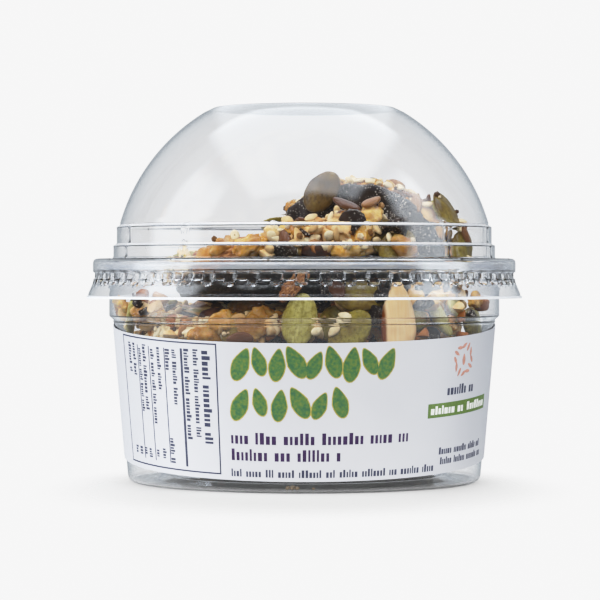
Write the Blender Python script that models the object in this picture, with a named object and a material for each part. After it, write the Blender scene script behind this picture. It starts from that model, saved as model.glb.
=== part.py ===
"""Domed tub of florentine cookies: a clear thermoformed cup with a press-on dome lid and a
paper label, holding six loose cookies. Each cookie is a layer of nuts and seeds in
caramel on a thin base of dark chocolate. Units are metres, +Z is up, -Y is the front,
and the origin is under the middle of the base, on the surface that the tub stands on."""

import math

import bmesh
import bpy
from mathutils import Matrix, Vector

MM = 0.001

# Cup, measured on its outer side
CUP_WALL = 0.45
CUP_SEGMENTS = 48
BASE_PANEL_RADIUS = 33.0
BASE_PANEL_RISE = 1.6
FOOT_INNER_RADIUS = 35.0
FOOT_OUTER_RADIUS = 39.8
TAPER_FOOT_RADIUS = 41.7
TAPER_FOOT_HEIGHT = 2.5
TAPER_TOP_RADIUS = 44.7
TAPER_TOP_HEIGHT = 37.2
BAND_RADIUS = 46.0
BAND_FOOT_HEIGHT = 38.9
RIM_TOP_HEIGHT = 51.5
RIM_RADIUS = 48.9
RIM_LIP_HEIGHT = 50.2

# Lid, measured on its outer side
LID_WALL = 0.45
LID_RIBS = 54
LID_TOP_HEIGHT = 88.0
LID_TOP_RADIUS = 19.4
DOME_RADIUS = 45.2
DOME_CENTRE_HEIGHT = 48.3
DOME_HIGH = 87.3
DOME_LOW = 61.0
DOME_RINGS = 6
UPPER_STEP_RADIUS = 44.2
UPPER_STEP_HIGH = 59.6
UPPER_STEP_LOW = 56.1
LOWER_STEP_RADIUS = 45.0
LOWER_STEP_HIGH = 54.8
FLANGE_HEIGHT = 52.4
FLANGE_RADIUS = 49.2
SKIRT_RADIUS = 49.8
SKIRT_HEM_RADIUS = 51.35
SKIRT_HEM_HEIGHT = 43.1
RIB_TOP = 49.9
RIB_MIDDLE = 49.1
RIB_FOOT = 47.0
RIB_DEPTH = 0.7

# Label, a straight paper strip that climbs a little towards its ends
LABEL_THICKNESS = 0.15
LABEL_GAP = 0.3
LABEL_HALF_TURN = 105.0
LABEL_LOW = 2.7
LABEL_HIGH = 33.5
LABEL_RISE = 2.75
LABEL_STEPS = 36

# Cookies: a chocolate base, a hair of air, and the nut layer on it
CHOCOLATE_THICKNESS = 1.9
LAYER_GAP = 0.3
NUT_THICKNESS = 6.3
COOKIE_SEGMENTS = 24

# Each cookie: middle in mm, the way that its nut side faces, its radius, and the turn
# of its uneven outline in degrees
COOKIES = [
    ((3.0, -9.0, 6.7), (0.0, 0.0, 1.0), 28.0, 10.0),
    ((-8.8, 2.0, 16.2), (0.01, -0.02, 1.0), 27.4, 130.0),
    ((4.4, -11.8, 25.6), (-0.02, -0.03, 1.0), 27.2, 260.0),
    ((-9.6, -8.0, 35.4), (-0.02, 0.01, 1.0), 27.6, 50.0),
    ((-2.0, -13.4, 50.4), (-0.07, 0.19, 0.98), 27.4, 200.0),
    ((14.6, 19.3, 46.4), (0.50, 0.84, 0.21), 26.4, 310.0),
]

# Kernels that stand out of the nut layers: length, width and thickness of each kind, and
# how much its far end narrows
ALMOND = ((18.0, 8.6, 3.6), 0.55)
ALMOND_SLICE = ((17.0, 6.2, 1.5), 0.35)
PUMPKIN_SEED = ((12.0, 8.2, 2.6), 0.45)

# Each kernel: name, kind, middle in mm, the way that its flat side faces, and the turn
# of its length about that way, in degrees from level
KERNELS = [
    ("almond_half", ALMOND, (21.9, -33.2, 37.5), (0.45, -0.89, 0.05), 117.0),
    ("almond_slice", ALMOND_SLICE, (-17.6, -37.8, 53.4), (-0.40, -0.80, 0.45), -3.0),
    ("pumpkin_seed_1", PUMPKIN_SEED, (-1.0, -38.3, 38.6), (0.0, -1.0, 0.12), 80.0),
    ("pumpkin_seed_2", PUMPKIN_SEED, (12.4, -32.2, 43.8), (0.15, -0.86, 0.50), 10.0),
    ("pumpkin_seed_3", PUMPKIN_SEED, (10.2, -36.6, 35.8), (0.26, -0.96, 0.05), 60.0),
    ("pumpkin_seed_4", PUMPKIN_SEED, (10.4, -20.4, 61.0), (0.05, -0.20, 0.98), 15.0),
    ("pumpkin_seed_5", PUMPKIN_SEED, (20.8, -33.0, 54.6), (0.62, -0.75, 0.20), 70.0),
    ("pumpkin_seed_6", PUMPKIN_SEED, (4.4, 12.9, 68.6), (-0.50, -0.84, -0.10), 12.0),
    ("pumpkin_seed_7", PUMPKIN_SEED, (33.8, 3.8, 63.8), (0.72, -0.35, 0.60), 125.0),
    ("pumpkin_seed_8", PUMPKIN_SEED, (37.6, 3.0, 54.8), (0.86, -0.46, 0.20), 95.0),
]


def material(name, colour, roughness, alpha=1.0):
    """A Principled material of one colour, roughness and alpha."""
    made = bpy.data.materials.new(name)
    made.use_nodes = True
    shader = made.node_tree.nodes["Principled BSDF"]
    shader.inputs["Base Color"].default_value = (*colour, 1.0)
    shader.inputs["Roughness"].default_value = roughness
    shader.inputs["Metallic"].default_value = 0.0
    shader.inputs["Alpha"].default_value = alpha
    return made


def add_object(name, bm, finish):
    """Turns bm, in mm, into a shaded object in metres."""
    bmesh.ops.recalc_face_normals(bm, faces=bm.faces)
    bmesh.ops.scale(bm, vec=(MM, MM, MM), verts=bm.verts)
    mesh = bpy.data.meshes.new(name)
    bm.to_mesh(mesh)
    bm.free()
    mesh.shade_smooth()
    mesh.set_sharp_from_angle(angle=math.radians(35))
    mesh.materials.append(finish)
    made = bpy.data.objects.new(name, mesh)
    bpy.context.scene.collection.objects.link(made)
    return made


def add_ring(bm, radius, height, count, flute=0.0):
    """A level ring of points; every second one is set in by flute."""
    points = []
    for i in range(count):
        angle = 2 * math.pi * i / count
        reach = radius - flute * (i % 2)
        points.append(bm.verts.new((reach * math.cos(angle), reach * math.sin(angle), height)))
    return points


def bridge(bm, first, second):
    """Joins two rings of like count, or one of twice the other's count, with faces."""
    if len(first) > len(second):
        first, second = second, first
    count = len(first)
    fine = len(second) // count
    for i in range(count):
        j = (i + 1) % count
        if fine == 1:
            bm.faces.new((first[i], first[j], second[j], second[i]))
            continue
        left = second[2 * i]
        middle = second[2 * i + 1]
        right = second[(2 * i + 2) % len(second)]
        bm.faces.new((first[i], middle, left))
        bm.faces.new((first[i], first[j], middle))
        bm.faces.new((first[j], right, middle))


def cap(bm, ring, height):
    """Closes a ring with a fan round a point on the axis."""
    centre = sum((v.co for v in ring), Vector()) / len(ring)
    tip = bm.verts.new((centre.x, centre.y, height))
    for i, point in enumerate(ring):
        bm.faces.new((point, ring[(i + 1) % len(ring)], tip))


def turned(name, profile, finish):
    """A closed turned shell. profile runs from the axis round the wall and back to the axis,
    as (radius, height, points in the ring, rib depth)."""
    bm = bmesh.new()
    rings = [add_ring(bm, *row) for row in profile[1:-1]]
    for lower, upper in zip(rings, rings[1:]):
        bridge(bm, lower, upper)
    cap(bm, rings[0], profile[0][1])
    cap(bm, rings[-1], profile[-1][1])
    return add_object(name, bm, finish)


def cup_profile():
    """Outer side from the base up, round the rolled rim, and the inner side down again."""
    wall = CUP_WALL
    lip = RIM_LIP_HEIGHT
    outer = [
        (0.0, BASE_PANEL_RISE),
        (BASE_PANEL_RADIUS, BASE_PANEL_RISE),
        (FOOT_INNER_RADIUS, 0.0),
        (FOOT_OUTER_RADIUS, 0.0),
        (TAPER_FOOT_RADIUS - 0.45, 0.8),
        (TAPER_FOOT_RADIUS, TAPER_FOOT_HEIGHT),
        (TAPER_TOP_RADIUS, TAPER_TOP_HEIGHT),
        (TAPER_TOP_RADIUS + 0.2, TAPER_TOP_HEIGHT + 0.6),
        (BAND_RADIUS, BAND_FOOT_HEIGHT),
        (BAND_RADIUS, RIM_TOP_HEIGHT - 1.0),
        (BAND_RADIUS + 0.6, RIM_TOP_HEIGHT - wall),
        (RIM_RADIUS - wall - 0.6, RIM_TOP_HEIGHT - wall),
        (RIM_RADIUS - wall, lip),
        (RIM_RADIUS, lip),
        (RIM_RADIUS - 0.5, RIM_TOP_HEIGHT),
    ]
    inner = [
        (BAND_RADIUS, RIM_TOP_HEIGHT),
        (BAND_RADIUS - wall, RIM_TOP_HEIGHT - 0.8),
        (BAND_RADIUS - wall, BAND_FOOT_HEIGHT + 0.3),
        (TAPER_TOP_RADIUS - wall, TAPER_TOP_HEIGHT + 0.9),
        (TAPER_TOP_RADIUS - wall, TAPER_TOP_HEIGHT),
        (TAPER_FOOT_RADIUS - wall, TAPER_FOOT_HEIGHT),
        (FOOT_OUTER_RADIUS - 0.2, wall),
        (FOOT_INNER_RADIUS + 0.2, wall),
        (BASE_PANEL_RADIUS + 0.2, BASE_PANEL_RISE + wall),
        (0.0, BASE_PANEL_RISE + wall),
    ]
    return [(radius, height, CUP_SEGMENTS, 0.0) for radius, height in outer + inner]


def dome_row(radius, high, low, rings):
    """Points down a sphere's side from height high to height low."""
    first = math.asin((high - DOME_CENTRE_HEIGHT) / radius)
    last = math.asin((low - DOME_CENTRE_HEIGHT) / radius)
    row = []
    for i in range(rings):
        angle = first + (last - first) * i / (rings - 1)
        row.append((radius * math.cos(angle), DOME_CENTRE_HEIGHT + radius * math.sin(angle)))
    return row


def lid_profile():
    """Outer side from the top down to the skirt's hem, and the inner side up again."""
    wall = LID_WALL
    count = LID_RIBS
    fine = 2 * count
    outer = [(0.0, LID_TOP_HEIGHT), (LID_TOP_RADIUS, LID_TOP_HEIGHT)]
    outer += dome_row(DOME_RADIUS, DOME_HIGH, DOME_LOW, DOME_RINGS)
    outer += [
        (UPPER_STEP_RADIUS, UPPER_STEP_HIGH),
        (UPPER_STEP_RADIUS, UPPER_STEP_LOW),
        (LOWER_STEP_RADIUS, LOWER_STEP_HIGH),
        (LOWER_STEP_RADIUS, FLANGE_HEIGHT),
        (FLANGE_RADIUS, FLANGE_HEIGHT),
        (SKIRT_RADIUS, FLANGE_HEIGHT - 0.9),
    ]
    skirt = [
        (SKIRT_RADIUS, RIB_TOP, 0.0),
        (SKIRT_RADIUS, RIB_MIDDLE, RIB_DEPTH),
        (SKIRT_RADIUS + 0.2, RIB_FOOT, 0.0),
        (SKIRT_HEM_RADIUS, SKIRT_HEM_HEIGHT, 0.0),
    ]
    inner = [
        (FLANGE_RADIUS, FLANGE_HEIGHT - wall - 0.2),
        (LOWER_STEP_RADIUS - wall, FLANGE_HEIGHT - wall),
        (LOWER_STEP_RADIUS - wall, LOWER_STEP_HIGH - 0.3),
        (UPPER_STEP_RADIUS - wall, UPPER_STEP_LOW - 0.3),
        (UPPER_STEP_RADIUS - wall, UPPER_STEP_HIGH - 0.3),
    ]
    inside = dome_row(DOME_RADIUS - wall, DOME_HIGH - wall, DOME_LOW - 0.2, DOME_RINGS - 1)
    inner += inside[::-1]
    inner += [(LID_TOP_RADIUS, LID_TOP_HEIGHT - wall), (0.0, LID_TOP_HEIGHT - wall)]
    rows = [(radius, height, count, 0.0) for radius, height in outer]
    rows += [(radius, height, fine, flute) for radius, height, flute in skirt]
    rows += [(radius - wall, height, fine, flute) for radius, height, flute in skirt[::-1]]
    rows += [(radius, height, count, 0.0) for radius, height in inner]
    return rows


def add_label(finish):
    """A thin curved strip round the cup's taper, open at the back."""
    bm = bmesh.new()
    slope = (TAPER_TOP_RADIUS - TAPER_FOOT_RADIUS) / (TAPER_TOP_HEIGHT - TAPER_FOOT_HEIGHT)
    sections = []
    for i in range(LABEL_STEPS + 1):
        turn = LABEL_HALF_TURN * (2 * i / LABEL_STEPS - 1)
        angle = math.radians(turn - 90)
        climb = LABEL_RISE * (turn / 90) ** 2
        section = []
        for height, outward in (
            (LABEL_LOW, LABEL_GAP),
            (LABEL_LOW, LABEL_GAP + LABEL_THICKNESS),
            (LABEL_HIGH, LABEL_GAP + LABEL_THICKNESS),
            (LABEL_HIGH, LABEL_GAP),
        ):
            z = height + climb
            reach = TAPER_FOOT_RADIUS + slope * (z - TAPER_FOOT_HEIGHT) + outward
            section.append(bm.verts.new((reach * math.cos(angle), reach * math.sin(angle), z)))
        sections.append(section)
    for first, second in zip(sections, sections[1:]):
        bridge(bm, first, second)
    bm.faces.new(sections[0])
    bm.faces.new(sections[-1])
    return add_object("label", bm, finish)


def wavy(radius, angle, turn):
    """The uneven outline of a cookie."""
    a = angle + math.radians(turn)
    return radius * (1 + 0.022 * math.sin(2 * a) + 0.016 * math.sin(3 * a + 1) + 0.010 * math.sin(5 * a))


def stand(centre, facing, turn=0.0):
    """A placing: the middle, the way that the upper side faces, and a turn about that way."""
    swing = Vector((0, 0, 1)).rotation_difference(Vector(facing).normalized())
    spin = Matrix.Rotation(math.radians(turn), 4, "Z")
    return Matrix.Translation(centre) @ swing.to_matrix().to_4x4() @ spin


def add_disc(name, rows, turn, placing, finish):
    """A closed round with an uneven outline. rows are (share of the radius, inset, height)."""
    bm = bmesh.new()
    rings = []
    for radius, inset, height in rows:
        ring = []
        for i in range(COOKIE_SEGMENTS):
            angle = 2 * math.pi * i / COOKIE_SEGMENTS
            reach = wavy(radius, angle, turn) - inset
            ring.append(bm.verts.new((reach * math.cos(angle), reach * math.sin(angle), height)))
        rings.append(ring)
    for first, second in zip(rings, rings[1:]):
        bridge(bm, first, second)
    cap(bm, rings[0], rows[0][2])
    cap(bm, rings[-1], rows[-1][2])
    bmesh.ops.transform(bm, matrix=placing, verts=bm.verts)
    return add_object(name, bm, finish)


def add_cookie(number, centre, facing, radius, turn, chocolate, nuts):
    """The two layers of one cookie."""
    placing = stand(centre, facing)
    half = (CHOCOLATE_THICKNESS + LAYER_GAP + NUT_THICKNESS) / 2
    top = CHOCOLATE_THICKNESS - half
    base = [(radius, 1.2, -half), (radius, 0.2, -half + 0.7), (radius, 0.6, top)]
    add_disc(f"cookie_{number}_chocolate", base, turn, placing, chocolate)
    low = top + LAYER_GAP
    layer = [
        (radius, 0.8, low),
        (radius, 0.0, low + 1.6),
        (radius, 0.5, half - 2.2),
        (radius, 3.0, half - 0.5),
        (radius * 0.5, 0.0, half),
    ]
    add_disc(f"cookie_{number}_nuts", layer, turn, placing, nuts)


def kernel_row(size, along, tip):
    """Half width and half thickness of a kernel at a share of its length, 0 to 1."""
    round_end = math.sqrt(max(0.0, 1 - (2 * along - 1) ** 2))
    narrowing = 1 - tip * max(0.0, along - 0.5)
    return size[1] / 2 * round_end * narrowing, size[2] / 2 * round_end ** 0.6


def add_kernel(name, size, tip, placing, finish, steps=6, around=9):
    """An almond or a pumpkin seed: a flattened drop lying along its own X."""
    bm = bmesh.new()
    rings = []
    for i in range(1, steps):
        along = (1 - math.cos(math.pi * i / steps)) / 2
        width, thick = kernel_row(size, along, tip)
        ring = []
        for j in range(around):
            angle = 2 * math.pi * j / around
            y = width * math.cos(angle)
            z = thick * math.sin(angle)
            ring.append(bm.verts.new((size[0] * (along - 0.5), y, z)))
        rings.append(ring)
    for first, second in zip(rings, rings[1:]):
        bridge(bm, first, second)
    for ring, end in ((rings[0], -0.5), (rings[-1], 0.5)):
        tip_point = bm.verts.new((size[0] * end, 0, 0))
        for j in range(around):
            bm.faces.new((ring[j], ring[(j + 1) % around], tip_point))
    bmesh.ops.transform(bm, matrix=placing, verts=bm.verts)
    return add_object(name, bm, finish)


def build():
    """Makes every piece of the filled and shut tub."""
    clear = material("clear_plastic", (0.93, 0.95, 0.97), 0.08, 0.35)
    paper = material("label_paper", (0.72, 0.74, 0.78), 0.55)
    chocolate = material("dark_chocolate", (0.022, 0.013, 0.009), 0.35)
    nuts = material("nut_caramel", (0.42, 0.25, 0.10), 0.45)
    almond = material("blanched_almond", (0.72, 0.50, 0.27), 0.5)
    seed = material("pumpkin_seed", (0.30, 0.30, 0.08), 0.45)
    turned("cup", cup_profile(), clear)
    turned("lid", lid_profile(), clear)
    add_label(paper)
    for number, (centre, facing, radius, turn) in enumerate(COOKIES, start=1):
        add_cookie(number, centre, facing, radius, turn, chocolate, nuts)
    for name, (size, tip), middle, facing, turn in KERNELS:
        finish = seed if size == PUMPKIN_SEED[0] else almond
        add_kernel(name, size, tip, stand(middle, facing, turn), finish)


for old in list(bpy.data.objects):
    bpy.data.objects.remove(old, do_unlink=True)
build()
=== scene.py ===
"""Domed tub of florentine cookies: the looks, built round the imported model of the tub."""

import math

import bmesh
import bpy
import numpy as np
from mathutils import Matrix, Vector


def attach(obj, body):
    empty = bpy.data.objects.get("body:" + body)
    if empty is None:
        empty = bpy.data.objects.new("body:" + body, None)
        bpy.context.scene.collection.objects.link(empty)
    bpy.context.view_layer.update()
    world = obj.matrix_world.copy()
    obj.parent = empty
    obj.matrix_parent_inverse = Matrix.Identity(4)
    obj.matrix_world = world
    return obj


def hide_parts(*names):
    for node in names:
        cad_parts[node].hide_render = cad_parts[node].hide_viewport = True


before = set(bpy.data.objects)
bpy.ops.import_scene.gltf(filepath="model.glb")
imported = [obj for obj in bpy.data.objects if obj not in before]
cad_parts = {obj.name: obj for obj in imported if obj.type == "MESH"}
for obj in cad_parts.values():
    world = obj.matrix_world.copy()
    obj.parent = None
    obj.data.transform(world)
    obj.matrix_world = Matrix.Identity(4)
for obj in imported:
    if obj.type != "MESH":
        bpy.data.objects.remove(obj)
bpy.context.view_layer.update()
MM = 0.001


# The camera. It stands level with the rim of the cup, far back behind a long lens, so
# that the tub is seen almost without perspective and fills two thirds of the view.
bpy.ops.object.select_all(action="DESELECT")
CAMERA_DISTANCE = 662 * MM
CAMERA_HEIGHT = 49.2 * MM
CAMERA_SIDE = -1.0 * MM
CAMERA_DIP = 0.57
CAMERA_LENS = 168
bpy.ops.object.camera_add(
    location=(CAMERA_SIDE, -CAMERA_DISTANCE, CAMERA_HEIGHT),
    rotation=(math.radians(90 - CAMERA_DIP), 0, 0),
)
camera = bpy.context.object
camera.name = "camera"
camera.data.lens = CAMERA_LENS
camera.data.sensor_width = 36
camera.data.clip_start = 0.01
bpy.context.scene.camera = camera


# The studio. A white table that runs out into a white surround, lit by soft boxes from both
# sides, from above and from in front. What mirrors the room sees two tall soft boxes, a broad
# one overhead, the white backdrop and table, and a dim rest, which draws the plastic's edges.
WHITE_ROOM = 1.47
BEHIND_PLASTIC = 1.10
DIM_ROOM = 0.10
FILL_ROOM = 0.40
TABLE_RADIUS = 1.2
LEFT_BOX = (-104, -66, 2.9)
RIGHT_BOX = (66, 97, 3.9)
FILM_CURVE = [(0.3, 0.3), (0.6, 0.59), (0.93, 0.765), (1.16, 0.847), (1.6, 0.945), (2.6, 1.0)]
BOX_FOOT = (-0.15, 0.10)
BOX_TOP = (0.72, 0.08)
BOX_SOFT = 0.09
OVER_FOOT = (0.3, 0.05)
OVER_SIDE = 0.66
OVER_FRONT = 0.82
OVER_BACK = 0.75
OVER_GLOW = 2.7
BACKDROP_EDGE = (0.45, 0.10)
BACKDROP_FOOT = (0.08, 0.06)
BACKDROP_SLANT = 1.6
BACKDROP_GLOW = 1.0
BEHIND_EDGE = (0.72, 0.16)
BEHIND_GLOW = 0.42
TABLE_EDGE = (0.18, 0.10)
TABLE_GLOW = 0.5
SHADE_SHIFT = (0, 0.018, 0)
SHADE_OVAL = (1.0, 0.72, 1.0)
SHADE_REACH = (0.030, 0.064)

scene = bpy.context.scene
film = scene.view_settings
film.view_transform = "Standard"
film.use_curve_mapping = True
film.curve_mapping.clip_max_x = FILM_CURVE[-1][0]
shoulder = film.curve_mapping.curves[3]
shoulder.points[1].location = FILM_CURVE[-1]
for seen, shown in FILM_CURVE[:-1]:
    shoulder.points.new(seen, shown)
film.curve_mapping.update()
scene.cycles.max_bounces = 24
scene.cycles.transmission_bounces = 24
scene.cycles.transparent_max_bounces = 32
scene.cycles.caustics_refractive = False
scene.cycles.caustics_reflective = False

room = bpy.data.worlds.new("studio_room")
scene.world = room
room.cycles.sampling_method = "NONE"
room.use_nodes = True
room_tree = room.node_tree
room_tree.nodes.clear()


def put(tree, socket, given):
    """Links an input to another node's socket, or sets it to a number, vector or colour."""
    if isinstance(given, bpy.types.NodeSocket):
        tree.links.new(given, socket)
    else:
        socket.default_value = given


def node_in(tree, kind, **inputs):
    """A node of a shader, with some of its inputs set or linked by name."""
    made = tree.nodes.new(kind)
    for name, given in inputs.items():
        put(tree, made.inputs[name.replace("_", " ")], given)
    return made


def maths(tree, operation, *inputs):
    """A Math node, whose inputs are sockets or numbers."""
    made = tree.nodes.new("ShaderNodeMath")
    made.operation = operation
    for socket, given in zip(made.inputs, inputs):
        put(tree, socket, given)
    return made.outputs[0]


def rise(tree, value, low, high, **ends):
    """Runs smoothly from 0 to 1, or between other ends, as value goes from low to high."""
    made = node_in(tree, "ShaderNodeMapRange", Value=value, From_Min=low, From_Max=high, **ends)
    made.interpolation_type = "SMOOTHSTEP"
    return made.outputs["Result"]


def either_of(tree, mask, no, yes):
    """One shader or the other, by a mask."""
    made = node_in(tree, "ShaderNodeMixShader", Fac=mask)
    put(tree, made.inputs[1], no)
    put(tree, made.inputs[2], yes)
    return made.outputs[0]


def room_math(operation, *inputs):
    """A Math node of the room."""
    return maths(room_tree, operation, *inputs)


def room_edge(value, at, soft):
    """Rises from 0 to 1 as value passes at, over twice soft."""
    return rise(room_tree, value, at - soft, at + soft)


def room_light(tint, strength):
    """A Background of one tint, whose strength is a socket or a number."""
    made = node_in(room_tree, "ShaderNodeBackground", Color=(*tint, 1), Strength=strength)
    return made.outputs[0]


way = node_in(room_tree, "ShaderNodeTexCoord").outputs["Generated"]
side, back, up = node_in(room_tree, "ShaderNodeSeparateXYZ", Vector=way).outputs
azimuth = room_math("ARCTAN2", side, room_math("MULTIPLY", back, -1.0))
above_foot = room_edge(up, *BOX_FOOT)
below_top = room_math("SUBTRACT", 1.0, room_edge(up, *BOX_TOP))
upright = room_math("MULTIPLY", above_foot, below_top)
glow = DIM_ROOM
for first, last, strength in (LEFT_BOX, RIGHT_BOX):
    inside = room_math(
        "SUBTRACT",
        room_edge(azimuth, math.radians(first), BOX_SOFT),
        room_edge(azimuth, math.radians(last), BOX_SOFT),
    )
    box_glow = room_math("MULTIPLY", room_math("MULTIPLY", inside, upright), strength)
    glow = room_math("ADD", box_glow, glow)
above = room_math("MAXIMUM", up, 0.02)
over_side = room_math("ABSOLUTE", room_math("DIVIDE", side, above))
over_back = room_math("DIVIDE", back, above)
overhead = room_math("MULTIPLY", room_edge(up, *OVER_FOOT), OVER_GLOW)
overhead_ends = ((over_side, OVER_SIDE, -1.0), (over_back, OVER_BACK, -1.0), (over_back, -OVER_FRONT, 1.0))
for value, at, way_in in overhead_ends:
    inside = room_edge(room_math("MULTIPLY", value, way_in), at * way_in, BOX_SOFT)
    overhead = room_math("MULTIPLY", overhead, inside)
glow = room_math("ADD", overhead, glow)
off_side = room_math("MULTIPLY", room_math("ABSOLUTE", side), BACKDROP_SLANT)
backdrop_up = room_edge(room_math("SUBTRACT", up, off_side), *BACKDROP_FOOT)
backdrop = room_math("MULTIPLY", room_edge(back, *BACKDROP_EDGE), backdrop_up)
glow = room_math("ADD", room_math("MULTIPLY", backdrop, BACKDROP_GLOW), glow)
behind = room_math("MULTIPLY", room_edge(back, *BEHIND_EDGE), BEHIND_GLOW)
glow = room_math("ADD", behind, glow)
below = room_edge(room_math("MULTIPLY", up, -1.0), *TABLE_EDGE)
glow = room_math("ADD", room_math("MULTIPLY", below, TABLE_GLOW), glow)

ray = node_in(room_tree, "ShaderNodeLightPath").outputs
open_view = room_light((1, 1, 1), WHITE_ROOM)
through_plastic = room_light((1, 1, 1), BEHIND_PLASTIC)
lit = either_of(room_tree, ray["Is Transmission Ray"], open_view, through_plastic)
mirrored = room_math("MINIMUM", ray["Glossy Depth"], 1.0)
lit = either_of(room_tree, mirrored, lit, room_light((0.86, 0.93, 1.0), glow))
matt = room_math("MINIMUM", ray["Diffuse Depth"], 1.0)
lit = either_of(room_tree, matt, lit, room_light((1, 1, 1), FILL_ROOM))
node_in(room_tree, "ShaderNodeOutputWorld", Surface=lit)


def add_soft_box(name, azimuth, elevation, distance, width, height, power, tint):
    """A rectangular area light that faces the tub from a direction round it. Azimuth 0 is
    behind the camera and 90 is to the right."""
    a = math.radians(azimuth)
    e = math.radians(elevation)
    out = Vector((math.sin(a) * math.cos(e), -math.cos(a) * math.cos(e), math.sin(e)))
    bpy.ops.object.light_add(type="AREA", location=Vector((0, 0, 0.05)) + out * distance)
    box = bpy.context.object
    box.name = name
    box.rotation_mode = "QUATERNION"
    box.rotation_quaternion = out.to_track_quat("Z", "Y")
    box.data.shape = "RECTANGLE"
    box.data.size = width
    box.data.size_y = height
    box.data.energy = power
    box.data.color = tint
    box.visible_camera = False
    box.visible_glossy = False
    box.visible_transmission = False


add_soft_box("soft_box_left", -94, 14, 0.95, 0.80, 0.9, 14.5, (0.94, 0.97, 1.0))
add_soft_box("soft_box_right", 82, 14, 0.95, 0.50, 0.9, 4.0, (0.94, 0.97, 1.0))
add_soft_box("soft_box_over", 0, 66, 1.1, 1.0, 0.9, 16.0, (1.0, 0.99, 0.97))
add_soft_box("soft_box_front", -12, 24, 1.3, 1.2, 0.8, 13.5, (1.0, 0.99, 0.98))


def new_finish(name, roughness, colour=(0.5, 0.5, 0.5)):
    """A material, with its node tree and its Principled shader."""
    finish = bpy.data.materials.new(name)
    finish.use_nodes = True
    made = finish.node_tree.nodes["Principled BSDF"]
    made.inputs["Base Color"].default_value = (*colour, 1)
    made.inputs["Roughness"].default_value = roughness
    return finish, finish.node_tree, made


def spot_on(tree):
    """Where a point lies, as the patterns of a material read it."""
    return node_in(tree, "ShaderNodeTexCoord").outputs["Object"]


bpy.ops.mesh.primitive_circle_add(vertices=96, radius=TABLE_RADIUS, fill_type="NGON")
table = bpy.context.object
table.name = "table"
table_white, tree, shader = new_finish("table_white", 0.9)
shader.inputs["Specular IOR Level"].default_value = 0.0
oval = node_in(tree, "ShaderNodeMapping", Vector=spot_on(tree), Location=SHADE_SHIFT, Scale=SHADE_OVAL)
reach = node_in(tree, "ShaderNodeVectorMath", Vector=oval.outputs[0])
reach.operation = "LENGTH"
shown = rise(tree, reach.outputs["Value"], *SHADE_REACH, To_Min=1.0, To_Max=0.0)
tree.links.new(shown, shader.inputs["Alpha"])
table.data.materials.append(table_white)


# The cup, thermoformed from one clear PET sheet: a raised panel in the base, a taper that
# carries the label, a stacking ring, a plain band and a lip rolled over for the lid. The lip
# carries a painted highlight: a streaky white haze for the light caught in its rolled bend.
FLUTES = 58
COLUMNS = 8
AROUND = FLUTES * COLUMNS
FLUTE_TURN = math.radians(-0.85)
SHEET = 0.45
LIP_FOOT = 49.7
LIP_INSIDE = 46.6


def rounded(corners, steps=4):
    """Corners of a section as (radius, height, bend), in mm, with each bend made an arc."""
    course = [corners[0][:2]]
    for before, corner, after in zip(corners, corners[1:], corners[2:]):
        here = Vector(corner[:2])
        back = Vector(before[:2]) - here
        on = Vector(after[:2]) - here
        bend = corner[2]
        half = back.angle(on) / 2
        run = min(bend / math.tan(half), back.length * 0.49, on.length * 0.49)
        if run < 0.01 or half > math.radians(88):
            course.append(tuple(here))
            continue
        start = here + back.normalized() * run
        end = here + on.normalized() * run
        for i in range(steps + 1):
            t = i / steps
            course.append(tuple(start * (1 - t) ** 2 + here * 2 * t * (1 - t) + end * t ** 2))
    course.append(corners[-1][:2])
    return course


def raise_wall(name, course, around):
    """A ring of points drawn out, up and in along the course, one extrusion at a time."""
    bpy.ops.object.select_all(action="DESELECT")
    radius, height = course[0]
    bpy.ops.mesh.primitive_circle_add(
        vertices=around,
        radius=radius * MM,
        location=(0, 0, height * MM),
        rotation=(0, 0, FLUTE_TURN),
    )
    wall = bpy.context.object
    wall.name = name
    bpy.ops.object.transform_apply(location=True, rotation=True)
    bpy.ops.object.mode_set(mode="EDIT")
    bpy.ops.mesh.select_all(action="SELECT")
    for next_radius, next_height in course[1:]:
        bpy.ops.mesh.extrude_region_move(
            TRANSFORM_OT_translate={"value": (0, 0, (next_height - height) * MM)}
        )
        stretch = next_radius / radius
        bpy.ops.transform.resize(value=(stretch, stretch, 1), center_override=(0, 0, next_height * MM))
        radius, height = next_radius, next_height
    bpy.ops.mesh.select_all(action="DESELECT")
    bpy.ops.object.mode_set(mode="OBJECT")
    return wall


def fill_rings(all_open):
    """Fills the selected rings of edges, or all the open ones, and turns the faces outwards."""
    bpy.ops.object.mode_set(mode="EDIT")
    bpy.ops.mesh.select_mode(type="EDGE")
    if all_open:
        bpy.ops.mesh.select_non_manifold()
    bpy.ops.mesh.edge_face_add()
    bpy.ops.mesh.select_all(action="SELECT")
    bpy.ops.mesh.normals_make_consistent(inside=False)
    bpy.ops.mesh.select_mode(type="VERT")
    bpy.ops.object.mode_set(mode="OBJECT")


def close_pole(wall, height, way):
    """Closes the small round hole left on the axis at this height. The wall's outer side is
    the one where that face looks up or down, as way is 1 or -1."""
    for vertex in wall.data.vertices:
        x, y, z = vertex.co
        vertex.select = math.hypot(x, y) < 1.01 * MM and abs(z - height * MM) < 0.01 * MM
    for edge in wall.data.edges:
        edge.select = all(wall.data.vertices[i].select for i in edge.vertices)
    fill_rings(all_open=False)
    pole = min(wall.data.polygons, key=lambda face: face.center.xy.length)
    if pole.normal.z * way < 0:
        bpy.ops.object.mode_set(mode="EDIT")
        bpy.ops.mesh.flip_normals()
        bpy.ops.object.mode_set(mode="OBJECT")


def modified(piece, kind, **settings):
    """Gives a piece a modifier with these settings and applies it."""
    made = piece.modifiers.new(kind.lower(), kind)
    for name, given in settings.items():
        setattr(made, name, given)
    bpy.context.view_layer.objects.active = piece
    bpy.ops.object.modifier_apply(modifier=made.name)


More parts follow.
